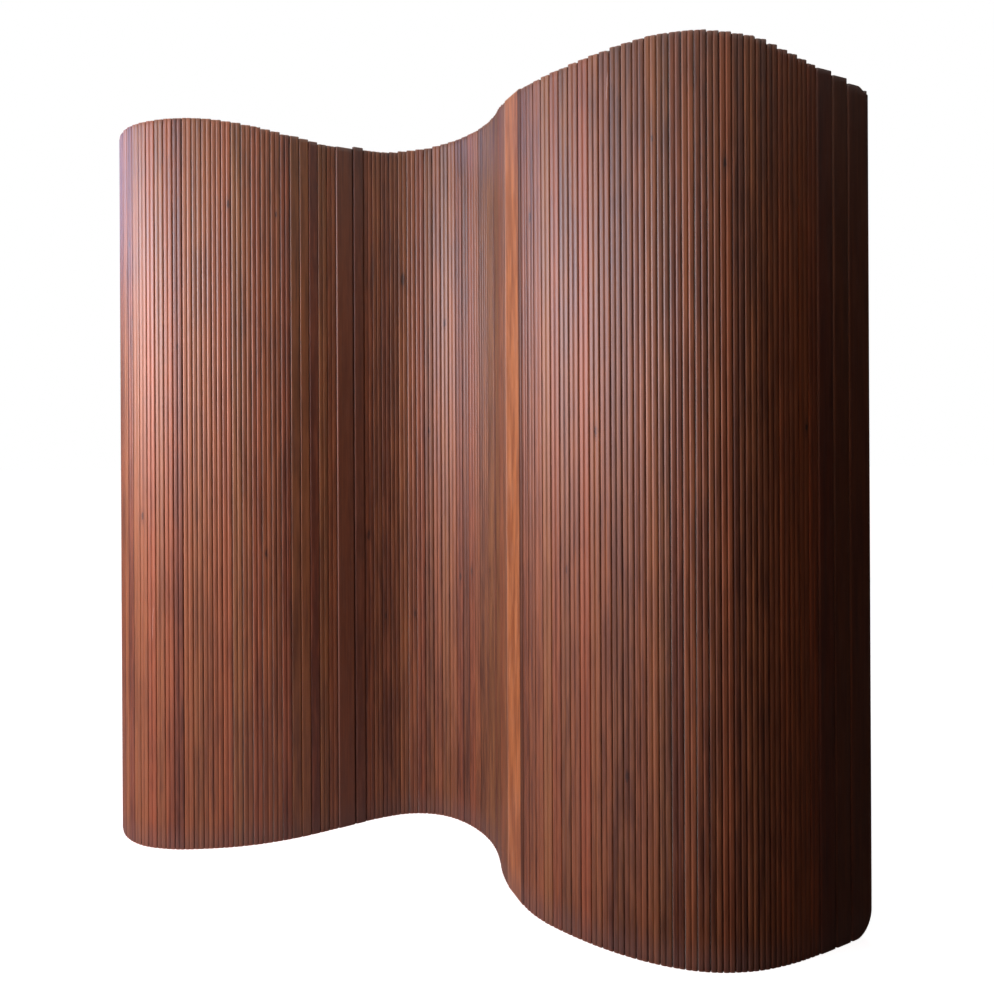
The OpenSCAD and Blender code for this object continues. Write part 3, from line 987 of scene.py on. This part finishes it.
def drill_row(piece, ferrules, side):
    """A mesh of cylinders over the ferrules, from each one's inner end to past the stile's edge."""
    drills = bmesh.new()
    for points in separate_solids(ferrules):
        centre = (points.max(0) + points.min(0)) / 2
        out = (points[:, :2] - piece["middle"]) @ piece["along"] * side
        start, end = out.min(), piece["width"] / 2 + PAST_EDGE
        spot = piece["middle"] + piece["along"] * side * (start + end) / 2
        place = Matrix.Translation((spot[0], spot[1], centre[2]))
        lie = Vector((*piece["along"], 0)).to_track_quat("Z", "Y").to_matrix().to_4x4()
        bmesh.ops.create_cone(drills, cap_ends=True, segments=DRILL_SIDES, radius1=POCKET_RADIUS,
                              radius2=POCKET_RADIUS, depth=end - start, matrix=place @ lie)
    mesh = bpy.data.meshes.new("drills")
    drills.to_mesh(mesh)
    drills.free()
    return mesh


def cut_out(wood, mesh):
    """Takes a mesh away from a piece and keeps what the piece carries."""
    drill = bpy.data.objects.new("drills", mesh)
    scene.collection.objects.link(drill)
    cut = wood.modifiers.new("pockets", "BOOLEAN")
    cut.operation = "DIFFERENCE"
    cut.solver = "EXACT"
    cut.object = drill
    bpy.context.view_layer.update()
    graph = bpy.context.evaluated_depsgraph_get()
    done = bpy.data.meshes.new_from_object(
        wood.evaluated_get(graph), preserve_all_data_layers=True, depsgraph=graph)
    wood.modifiers.clear()
    wood.data = done
    bpy.data.objects.remove(drill)


for side, stile, ferrules in ((-1, "left_end_stile", "left_ferrules"),
                              (1, "right_end_stile", "right_ferrules")):
    piece = layout[stile][0]
    drills = drill_row(piece, frame["nodes"][ferrules].data, side)
    count = len(drills.vertices)
    heights = np.array([vertex.co.z for vertex in drills.vertices])
    carry_all(drills, [{
        "place": np.stack([np.zeros(count), np.zeros(count), heights], 1),
        "lot": np.zeros((count, 3)), "knot": np.tile(NO_KNOT, (count, 1)),
        "edges": np.tile(NO_EDGES, (count, 1)), "scratch": np.tile(NO_SCRATCH, (count, 1)),
        "crown": np.zeros(count), "below_top": np.ones(count)}])
    before = len(dressed[stile].data.vertices)
    cut_out(dressed[stile], drills)
    dressed[stile].data.set_sharp_from_angle(angle=SHARP)
    print(stile, "drilled:", before, "vertices before,", len(dressed[stile].data.vertices), "after")

# %% [markdown]
# ## Cables and ferrules
# The cables and ferrules keep the model's own shapes. A cable is dull steel wire with the fine
# diagonal lay of its strands, a ferrule is soft aluminium with the scratches of the crimping
# tool.

# %% Metal finishes
def metal_finish(title, colour, dull, lay, depth):
    material = bpy.data.materials.new(title)
    material.use_nodes = True
    tree = material.node_tree
    shader = tree.nodes["Principled BSDF"]
    place = place_node(tree, "ShaderNodeTexCoord").outputs["Object"]
    strands = place_node(tree, "ShaderNodeTexWave", {
        "Vector": place, "Scale": lay, "Distortion": 1.5, "Detail": 2.0},
        bands_direction="DIAGONAL")
    stains = noise(tree, place, 400.0, detail=3.0)
    shade = blend_colours(tree, stains, colour, tuple(0.55 * part for part in colour[:3]) + (1,))
    fill(tree, shader.inputs["Base Color"], shade)
    shader.inputs["Metallic"].default_value = 1
    fill(tree, shader.inputs["Roughness"], ramp(tree, stains, 0.3, 0.7, dull, dull + 0.15))
    bump = place_node(tree, "ShaderNodeBump", {"Strength": 0.5, "Distance": depth,
                                               "Height": strands.outputs["Fac"]})
    fill(tree, shader.inputs["Normal"], bump.outputs["Normal"])
    return material


cable_finish = metal_finish("steel cable", (0.50, 0.50, 0.51, 1), 0.35, 500.0, 0.0002)
ferrule_finish = metal_finish("crimped ferrule", (0.72, 0.72, 0.73, 1), 0.38, 160.0, 0.0001)
for name, node in frame["nodes"].items():
    if name.startswith("cables_") or name.endswith("_ferrules"):
        node.data.materials.clear()
        node.data.materials.append(cable_finish if name.startswith("cables_") else ferrule_finish)
print("metal finishes on", sum(1 for name in frame["nodes"] if name not in dressed), "nodes")
